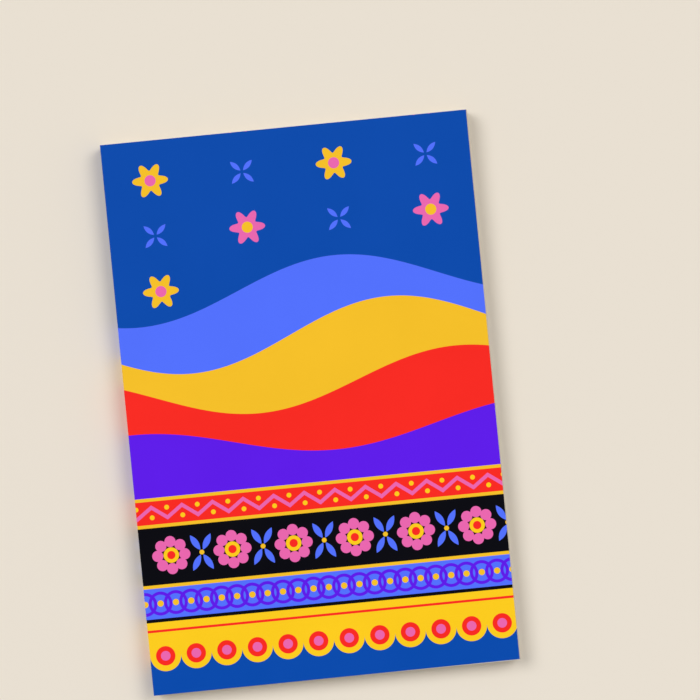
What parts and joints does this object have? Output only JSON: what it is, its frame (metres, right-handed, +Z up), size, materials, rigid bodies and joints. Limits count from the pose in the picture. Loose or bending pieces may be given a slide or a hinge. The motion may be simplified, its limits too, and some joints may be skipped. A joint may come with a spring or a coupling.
{
  "type": "softcover dot-grid notebook",
  "caption": "Perfect-bound softcover notebook with dot-grid leaves, square trimmed corners and covers and first leaves that open at the spine.",
  "frame": {"origin": "under the middle of the closed book, on the surface it lies on", "axes": "+X from the spine to the fore edge, +Y from the tail to the head, +Z up through the front cover"},
  "size_m": [0.1524, 0.2286, 0.0092],
  "materials": {
    "cover_card": "printed card with a matt film on the outside, uncoated white inside",
    "leaf_paper": "uncoated white paper with a printed dot grid",
    "binding_glue": "translucent hot-melt glue"
  },
  "bodies": {
    "block": {"spine_panel": "cover_card", "spine_glue": "binding_glue", "leaves_09_18": "leaf_paper", "leaves_19_28": "leaf_paper", "leaves_29_38": "leaf_paper", "leaves_39_48": "leaf_paper", "leaves_49_58": "leaf_paper", "leaves_59_68": "leaf_paper", "leaves_69_75": "leaf_paper"},
    "front_cover": {"front_cover": "cover_card"},
    "back_cover": {"back_cover": "cover_card"},
    "leaf_01": {"leaf_01": "leaf_paper"},
    "leaf_02": {"leaf_02": "leaf_paper"},
    "leaf_03": {"leaf_03": "leaf_paper"},
    "leaf_04": {"leaf_04": "leaf_paper"},
    "leaf_05": {"leaf_05": "leaf_paper"},
    "leaf_06": {"leaf_06": "leaf_paper"},
    "leaf_07": {"leaf_07": "leaf_paper"},
    "leaf_08": {"leaf_08": "leaf_paper"}
  },
  "joints": [
    {"name": "front_cover_hinge", "type": "hinge", "parent": "block", "child": "front_cover", "pos_m": [-0.0762, 0, 0.00887], "axis": [0, -1, 0], "range_deg": [0, 176]},
    {"name": "back_cover_hinge", "type": "hinge", "parent": "block", "child": "back_cover", "pos_m": [-0.0762, 0, 0.00028], "axis": [0, 1, 0], "range_deg": [0, 180]},
    {"name": "leaf_01_turn", "type": "hinge", "parent": "block", "child": "leaf_01", "pos_m": [-0.07552, 0, 0.00887], "axis": [0, -1, 0], "range_deg": [0, 168]},
    {"name": "leaf_02_turn", "type": "hinge", "parent": "block", "child": "leaf_02", "pos_m": [-0.07552, 0, 0.00887], "axis": [0, -1, 0], "range_deg": [0, 147]},
    {"name": "leaf_03_turn", "type": "hinge", "parent": "block", "child": "leaf_03", "pos_m": [-0.07552, 0, 0.00887], "axis": [0, -1, 0], "range_deg": [0, 126]},
    {"name": "leaf_04_turn", "type": "hinge", "parent": "block", "child": "leaf_04", "pos_m": [-0.07552, 0, 0.00887], "axis": [0, -1, 0], "range_deg": [0, 105]},
    {"name": "leaf_05_turn", "type": "hinge", "parent": "block", "child": "leaf_05", "pos_m": [-0.07552, 0, 0.00887], "axis": [0, -1, 0], "range_deg": [0, 84]},
    {"name": "leaf_06_turn", "type": "hinge", "parent": "block", "child": "leaf_06", "pos_m": [-0.07552, 0, 0.00887], "axis": [0, -1, 0], "range_deg": [0, 63]},
    {"name": "leaf_07_turn", "type": "hinge", "parent": "block", "child": "leaf_07", "pos_m": [-0.07552, 0, 0.00887], "axis": [0, -1, 0], "range_deg": [0, 42]},
    {"name": "leaf_08_turn", "type": "hinge", "parent": "block", "child": "leaf_08", "pos_m": [-0.07552, 0, 0.00887], "axis": [0, -1, 0], "range_deg": [0, 21]}
  ],
  "couplings": [
    {"joint": "leaf_01_turn", "follows": "front_cover_hinge", "ratio": 0.95454},
    {"joint": "leaf_02_turn", "follows": "front_cover_hinge", "ratio": 0.83523},
    {"joint": "leaf_03_turn", "follows": "front_cover_hinge", "ratio": 0.71591},
    {"joint": "leaf_04_turn", "follows": "front_cover_hinge", "ratio": 0.59659},
    {"joint": "leaf_05_turn", "follows": "front_cover_hinge", "ratio": 0.47727},
    {"joint": "leaf_06_turn", "follows": "front_cover_hinge", "ratio": 0.35795},
    {"joint": "leaf_07_turn", "follows": "front_cover_hinge", "ratio": 0.23864},
    {"joint": "leaf_08_turn", "follows": "front_cover_hinge", "ratio": 0.11932}
  ]
}
